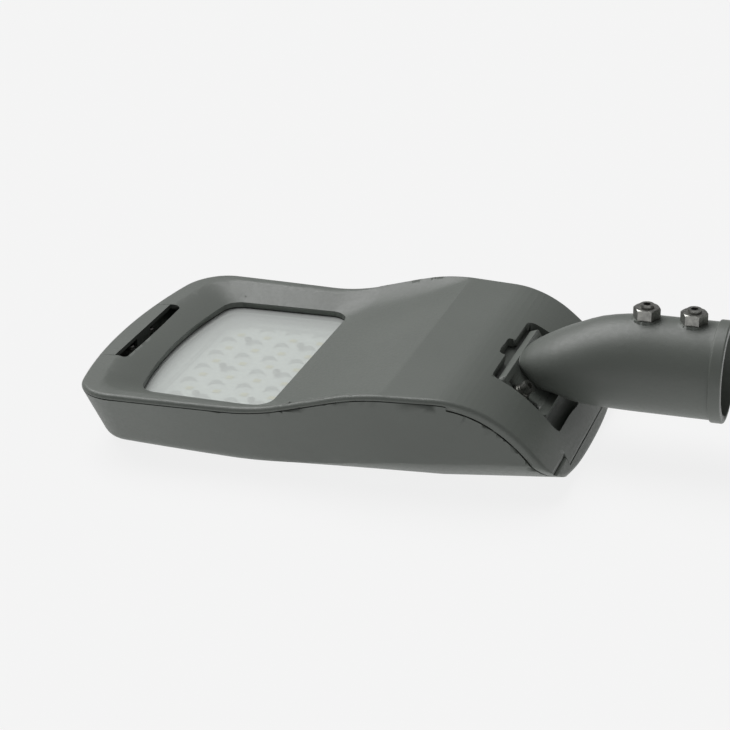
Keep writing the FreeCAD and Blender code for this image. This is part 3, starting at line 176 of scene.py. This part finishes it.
def joined_copy(node, name, material):
    """A copy of a node whose loose faces are joined at their corners."""
    bpy.ops.object.select_all(action="DESELECT")
    copy = bpy.data.objects.new(name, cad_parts[node].data.copy())
    bpy.context.collection.objects.link(copy)
    copy.data.materials.clear()
    copy.data.materials.append(material)
    copy.select_set(True)
    bpy.context.view_layer.objects.active = copy
    bpy.ops.object.mode_set(mode="EDIT")
    bpy.ops.mesh.select_all(action="SELECT")
    bpy.ops.mesh.remove_doubles(threshold=1e-5)
    bpy.ops.object.mode_set(mode="OBJECT")
    return copy


def cast_finish(copy, node, body):
    """Smooth shading that follows the large faces of a casting, and the piece's place in the frame."""
    bpy.ops.object.select_all(action="DESELECT")
    copy.select_set(True)
    bpy.context.view_layer.objects.active = copy
    bpy.ops.object.shade_smooth_by_angle(angle=SMOOTH_ANGLE)
    weighted = copy.modifiers.new("large_faces", "WEIGHTED_NORMAL")
    weighted.keep_sharp = True
    weighted.weight = 60
    bpy.ops.object.modifier_apply(modifier=weighted.name)
    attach(copy, body)
    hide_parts(node)


def wall_side(mesh):
    """Steep faces that look outwards."""
    return [face for face in mesh.faces
            if abs(face.normal.z) < WALL_STEEPNESS and face.calc_area() > SMALLEST_WALL_FACE
            and face.normal.y * face.calc_center_median().y > 0.0]


def netted(mesh, chosen, span, step, direction):
    """Cuts the chosen faces into strips across a direction, in the same order on every run."""
    start, end = span
    for count in range(int((end - start) / step) + 1):
        parts = {}
        for face in chosen(mesh):
            parts.update(dict.fromkeys((face, *face.edges, *face.verts)))
        cut = Vector(direction) * (start + count * step)
        bmesh.ops.bisect_plane(mesh, geom=list(parts), plane_co=cut, plane_no=direction, dist=1e-6)


housing = joined_copy("housing", "cast_housing", coat)
net = bmesh.new()
net.from_mesh(housing.data)
net.normal_update()
netted(net, wall_side, WALL_LENGTH_SPAN, WALL_NET_ALONG, (1.0, 0.0, 0.0))
netted(net, wall_side, WALL_HEIGHT_SPAN, WALL_NET_UP, (0.0, 0.0, 1.0))
net.to_mesh(housing.data)
net.free()
cast_finish(housing, "housing", "housing")

# Light module: a white board with 24 yellow-faced diodes, under one moulded tray of clear lenses. A flat
# white shield covers the deck round it, and six zinc-plated hex-socket screws hold board and tray down.

solder_mask, shader = new_material("white_solder_mask")
mottled(solder_mask, (0.84, 0.87, 0.85), (0.90, 0.92, 0.90), grain(solder_mask, 60.0, 0.0, 1.0))
shader.inputs["Roughness"].default_value = 0.35
dress("led_board", solder_mask)

phosphor, shader = new_material("yellow_phosphor")
mottled(phosphor, (0.70, 0.56, 0.10), (0.80, 0.68, 0.18), grain(phosphor, 900.0, 0.0, 1.0))
shader.inputs["Roughness"].default_value = 0.4
dress("led_chips", phosphor)


def see_through(name, straight_on, edge_on, roughness, tint, milky):
    """Clear sheet that lets light straight through, with a gloss that grows towards its edge-on view."""
    made = bpy.data.materials.new(name)
    made.use_nodes = True
    tree = made.node_tree
    tree.nodes.clear()
    out = tree.nodes.new("ShaderNodeOutputMaterial")
    mix = tree.nodes.new("ShaderNodeMixShader")
    clear = tree.nodes.new("ShaderNodeBsdfTransparent")
    clear.inputs["Color"].default_value = (*tint, 1.0)
    gloss = tree.nodes.new("ShaderNodeBsdfGlossy")
    gloss.inputs["Roughness"].default_value = roughness
    view = tree.nodes.new("ShaderNodeLayerWeight")
    view.inputs["Blend"].default_value = 0.5
    steep = tree.nodes.new("ShaderNodeMath")
    steep.operation = "POWER"
    steep.inputs[1].default_value = 4.0
    share = tree.nodes.new("ShaderNodeMapRange")
    share.inputs["To Min"].default_value = straight_on
    share.inputs["To Max"].default_value = edge_on
    tree.links.new(view.outputs["Facing"], steep.inputs[0])
    tree.links.new(steep.outputs["Value"], share.inputs["Value"])
    tree.links.new(share.outputs["Result"], mix.inputs["Fac"])
    veil = tree.nodes.new("ShaderNodeBsdfDiffuse")
    veil.inputs["Color"].default_value = (0.94, 0.97, 0.95, 1.0)
    haze = tree.nodes.new("ShaderNodeMixShader")
    haze.inputs["Fac"].default_value = milky
    tree.links.new(clear.outputs["BSDF"], haze.inputs[1])
    tree.links.new(veil.outputs["BSDF"], haze.inputs[2])
    tree.links.new(haze.outputs["Shader"], mix.inputs[1])
    tree.links.new(gloss.outputs["BSDF"], mix.inputs[2])
    tree.links.new(mix.outputs["Shader"], out.inputs["Surface"])
    return made


lens_plastic = see_through("clear_lens_plastic", 0.03, 0.12, 0.20, (0.99, 0.995, 0.99), 0.09)
dress("lens_array", lens_plastic)

zinc, shader = new_material("zinc_plated_steel")
mottled(zinc, (0.22, 0.22, 0.21), (0.34, 0.34, 0.32), grain(zinc, 300.0, 0.0, 1.0))
shader.inputs["Metallic"].default_value = 1.0
zinc.node_tree.links.new(grain(zinc, 700.0, 0.25, 0.42), shader.inputs["Roughness"])
dress("led_screws", zinc)

shield_white, shader = new_material("white_shield_plastic")
mottled(shield_white, (0.84, 0.87, 0.85), (0.90, 0.92, 0.90), grain(shield_white, 40.0, 0.0, 1.0))
shader.inputs["Roughness"].default_value = 0.5
dress("light_shield", shield_white)

# Gear bay: the driver in its satin aluminium case, which two screws hold by its ears, and in black moulded
# plastic the surge protector, the terminal block and the saddle that clamps the supply cable.

case_alu, shader = new_material("satin_aluminium_case")
mottled(case_alu, (0.50, 0.51, 0.52), (0.58, 0.59, 0.60), grain(case_alu, 25.0, 0.0, 1.0))
shader.inputs["Metallic"].default_value = 1.0
case_alu.node_tree.links.new(grain(case_alu, 350.0, 0.35, 0.5), shader.inputs["Roughness"])
dress("driver", case_alu)
dress("driver_screws", zinc)

black_plastic, shader = new_material("black_moulded_plastic")
mottled(black_plastic, (0.018, 0.018, 0.019), (0.030, 0.030, 0.031), grain(black_plastic, 80.0, 0.0, 1.0))
black_plastic.node_tree.links.new(grain(black_plastic, 900.0, 0.45, 0.6), shader.inputs["Roughness"])
bump(black_plastic, grain(black_plastic, 2500.0, 0.0, 1.0), 0.1, 0.0002)
for node in ("surge_protector", "terminal_block", "cable_clamp"):
    dress(node, black_plastic)

# Seals: both are black silicone. One is a band on the housing, which the closed cover presses on, and the
# other is a flat ring between the glass and the flange that it lies against.

silicone, shader = new_material("black_silicone")
mottled(silicone, (0.012, 0.012, 0.012), (0.022, 0.022, 0.022), grain(silicone, 120.0, 0.0, 1.0))
shader.inputs["Roughness"].default_value = 0.65
bump(silicone, grain(silicone, 1800.0, 0.0, 1.0), 0.12, 0.0002)
dress("main_gasket", silicone)
dress("window_gasket", silicone)

# Cover: a thin aluminium casting that follows the lamp's wave and is sunk towards the window, with the same
# coat as the housing. Its lit face is cut into a fine net, which is drawn smoothly from the window's edge up
# to the rim and the crest, and closes the joint with the rim beside the ramp.

COVER_LENGTH_SPAN = (-0.4705, -0.100)
COVER_WIDTH_SPAN = (-0.1201, 0.1202)
COVER_NET_ALONG = 0.004
COVER_NET_ACROSS = 0.006
LIT_SLOPE = 0.25
LIT_SLOPE_REAR = 0.5
REAR_START = -0.2
RAMP_TURN = math.radians(16.07)
RAMP_ROUND = 0.1488
FRONT_LEVEL = -0.0168
CREST_LEVEL = 0.005
DROOP_START = -0.415
DROOP_ROUND = 0.420
RAMP_START = -0.336
RAMP_STRAIGHT = (-0.2948, -0.2587)
RAMP_END = -0.2175
RAMP_TOP = -0.2200
RAMP_SLOPE = 0.3347
WINDOW_LEVEL = -0.026
WINDOW_DEPTH_PLAY = 0.0004
WINDOW_EDGE_PLAY = 0.00006
WINDOW_CORNER_PLAY = 0.00003
ABOVE_WINDOW = 0.00005
WINDOW_EDGE_STEEPNESS = 0.2
WINDOW_REAR = -0.3128
WINDOW_ARC_CENTRE = -0.023
BORDER_FRONT_ARC = 0.4265
BORDER_LINE = ((-0.445, 0.100), (-0.430, 0.1085), (-0.420, 0.1125), (-0.400, 0.1130), (-0.380, 0.1122),
               (-0.345, 0.1105), (-0.330, 0.1106), (-0.312, 0.1130), (-0.300, 0.1163), (-0.296, 0.1180),
               (-0.2586, 0.1179), (-0.246, 0.11735), (-0.238, 0.1168), (-0.231, 0.1161), (-0.210, 0.1138))
BORDER_END = -0.212
BORDER_PLAY = 0.0002
INNER_NET_MARGIN = 0.0045
INNER_NET_DOUBLES = 0.0006
RIM_JOINT_START = -0.296
RIM_JOINT_WIDTH = 0.0012
RIM_JOINT_DOUBLES = 0.0004
RIM_OPENING = 0.1141
RIM_OPENING_SPAN = (-0.2865, -0.2300)
STEP_LENGTH_SPAN = (-0.297, -0.214)
STEP_WIDTH_SPAN = (0.1135, 0.1192)
STEP_REACH = 0.0033
STEP_STEEPNESS = 0.7
STEP_TURN = 0.3
CORNER_SOFTNESS = 0.003
RAMP_SOFTNESS = 0.0022
RAMP_FADE = 0.02


def rim_height(x):
    """Height of the cover's rim along its length: drooping tip, flat front, rounded ramp and flat crest."""
    if x < DROOP_START:
        return FRONT_LEVEL - DROOP_ROUND + math.sqrt(DROOP_ROUND ** 2 - (x - DROOP_START) ** 2)
    if x < RAMP_START:
        return FRONT_LEVEL
    if x < RAMP_STRAIGHT[0]:
        return FRONT_LEVEL + RAMP_ROUND - math.sqrt(RAMP_ROUND ** 2 - (x - RAMP_START) ** 2)
    if x < RAMP_STRAIGHT[1]:
        foot = FRONT_LEVEL + RAMP_ROUND * (1.0 - math.cos(RAMP_TURN))
        return foot + (x - RAMP_STRAIGHT[0]) * math.tan(RAMP_TURN)
    if x < RAMP_END:
        return CREST_LEVEL - RAMP_ROUND + math.sqrt(RAMP_ROUND ** 2 - (x - RAMP_END) ** 2)
    return CREST_LEVEL


def border_half(x):
    """Half width of the sunken border at a place along the cover."""
    for (x0, y0), (x1, y1) in zip(BORDER_LINE, BORDER_LINE[1:]):
        if x <= x1:
            return y0 + (y1 - y0) * (x - x0) / (x1 - x0)
    return BORDER_LINE[-1][1]


def away_from(x, y, lines):
    """Distance in plan from a point to the nearest of some straight edges."""
    nearest = 1.0
    for ax, ay, bx, by in lines:
        along = ((x - ax) * (bx - ax) + (y - ay) * (by - ay)) / ((bx - ax) ** 2 + (by - ay) ** 2)
        along = max(0.0, min(1.0, along))
        nearest = min(nearest, math.hypot(x - ax - along * (bx - ax), y - ay - along * (by - ay)))
    return nearest


def lit_side(mesh):
    """Faces that look up, on the border and ramp also the steep ones."""
    chosen = []
    for face in mesh.faces:
        place = face.calc_center_median()
        front = place.x < REAR_START
        if face.normal.z > (LIT_SLOPE if front else LIT_SLOPE_REAR) and (
                place.z > WINDOW_LEVEL - WINDOW_DEPTH_PLAY or place.x > REAR_START):
            chosen.append(face)
    return chosen


def corners_of(faces):
    """Corners of some faces, each once, in the same order on every run."""
    return list(dict.fromkeys(corner for face in faces for corner in face.verts))


def window_outline(mesh):
    """The window's edges in plan, where the level flange meets the border's slope."""
    outline = []
    for edge in mesh.edges:
        a, b = edge.verts
        level_edge = all(abs(corner.co.z - WINDOW_LEVEL) < WINDOW_CORNER_PLAY for corner in edge.verts)
        if level_edge and len(edge.link_faces) == 2:
            rises = sorted(face.normal.z for face in edge.link_faces)
            if rises[0] < WINDOW_EDGE_STEEPNESS < rises[1]:
                outline.append((a.co.x, a.co.y, b.co.x, b.co.y))
    return outline


def merge_slivers(mesh):
    """Joins corners of the net that lie close together, well inside the border."""
    lit_faces = lit_side(mesh)
    lit = set(lit_faces)
    inner = [corner for corner in corners_of(lit_faces)
             if all(face in lit for face in corner.link_faces) and corner.co.x < RAMP_TOP
             and abs(corner.co.y) < border_half(corner.co.x) - INNER_NET_MARGIN]
    bmesh.ops.remove_doubles(mesh, verts=inner, dist=INNER_NET_DOUBLES)
    mesh.normal_update()


def border_level(x, y, side, front, window_edge):
    """Height of the border or ramp: whichever is higher, with a soft round between them."""
    nearness = sum(math.exp(-edge / CORNER_SOFTNESS) for edge in (side, front, RAMP_TOP - x))
    outer = max(0.0, -CORNER_SOFTNESS * math.log(nearness))
    inner = away_from(x, y, window_edge)
    share = inner / (inner + outer) if inner + outer > 0.0 else 1.0
    rim = rim_height(x)
    border = WINDOW_LEVEL + (rim - WINDOW_LEVEL) * share
    ramp = WINDOW_LEVEL + max(0.0, x - WINDOW_REAR) * RAMP_SLOPE
    soft = RAMP_SOFTNESS * max(0.0, min(1.0, (x - WINDOW_REAR) / RAMP_FADE, (RAMP_TOP - x) / RAMP_FADE))
    return min(rim, 0.5 * (ramp + border + math.hypot(ramp - border, soft)))


def draw_border(mesh, window_edge):
    """Puts each corner between window and rim at its height, and those at the joint on the rim's line."""
    closing = []
    for corner in corners_of(lit_side(mesh)):
        x, y, z = corner.co
        rim = rim_height(x)
        side = border_half(x) - abs(y)
        front = BORDER_FRONT_ARC - math.hypot(x - WINDOW_ARC_CENTRE, y)
        on_border = x <= BORDER_END and front >= 0.0 and side >= -BORDER_PLAY
        if not on_border or z < WINDOW_LEVEL + ABOVE_WINDOW or z > rim + BORDER_PLAY:
            continue
        at_wall = side < RIM_JOINT_WIDTH and x > RIM_JOINT_START
        at_opening = abs(y) > RIM_OPENING and RIM_OPENING_SPAN[0] < x < RIM_OPENING_SPAN[1]
        if at_wall or at_opening:
            corner.co.y = math.copysign(border_half(x), y)
            corner.co.z = rim
            closing.append(corner)
        elif side < 0.0 or x > RAMP_TOP:
            corner.co.z = max(z, rim) if x > RIM_JOINT_START else z
        else:
            corner.co.z = border_level(x, y, side, front, window_edge)
    bmesh.ops.remove_doubles(mesh, verts=closing, dist=RIM_JOINT_DOUBLES)
    mesh.normal_update()


def level_step(mesh):
    """Lifts the low step that stands between border and rim beside the ramp up to the rim."""
    for face in mesh.faces:
        place = face.calc_center_median()
        at_step = (STEP_LENGTH_SPAN[0] < place.x < STEP_LENGTH_SPAN[1]
                   and STEP_WIDTH_SPAN[0] < abs(place.y) < STEP_WIDTH_SPAN[1])
        looks_inwards = face.normal.y * place.y < STEP_TURN * abs(place.y)
        if at_step and looks_inwards and abs(face.normal.z) < STEP_STEEPNESS:
            for corner in face.verts:
                rim = rim_height(corner.co.x)
                if rim - STEP_REACH < corner.co.z < rim:
                    corner.co.z = rim


def sharpen_window(mesh):
    """Keeps the window's edge crisp under the smooth shading."""
    for edge in mesh.edges:
        if all(abs(corner.co.z - WINDOW_LEVEL) < WINDOW_EDGE_PLAY for corner in edge.verts):
            edge.smooth = False


cover = joined_copy("cover_frame", "cast_cover", coat)
net = bmesh.new()
net.from_mesh(cover.data)
net.normal_update()
window_edge = window_outline(net)
netted(net, lit_side, COVER_LENGTH_SPAN, COVER_NET_ALONG, (1.0, 0.0, 0.0))
netted(net, lit_side, COVER_WIDTH_SPAN, COVER_NET_ACROSS, (0.0, 1.0, 0.0))
net.normal_update()
merge_slivers(net)
draw_border(net, window_edge)
level_step(net)
sharpen_window(net)
net.normal_update()
net.to_mesh(cover.data)
net.free()
cast_finish(cover, "cover_frame", "cover")

# Window: toughened glass with a slight milky veil, set under the cover's flange. A ring painted white like
# the shield and eight small zinc-plated screws hold it there from inside.

window_glass = see_through("toughened_glass", 0.02, 0.25, 0.03, (0.985, 0.995, 0.99), 0.33)
dress("window_glass", window_glass)
dress("glass_retainer", shield_white)
dress("retainer_screws", zinc)

# Latch and hinge: a cast bar in the same coat turns on a steel pin in the cover's front edge. Its hook goes
# under a keeper that two screws fix to the housing, and two more pins at the rear carry the cover.

cast_finish(joined_copy("latch", "cast_latch", coat), "latch", "latch")
dress("latch_pin", zinc)
dress("latch_keeper", zinc)
dress("keeper_screws", zinc)
dress("hinge_pins", zinc)

# Pole socket: a cast tube in the same coat, drawn down to a nose on a slotted, curved tilt plate. Two set
# screws with lock nuts clamp the pole in it, and two bolts with washers clamp the plate to the housing.

cast_finish(joined_copy("spigot", "cast_socket", coat), "spigot", "spigot")
for node in ("set_screws", "lock_nuts", "tilt_bolts", "tilt_washers", "tilt_spring_washers"):
    dress(node, zinc)
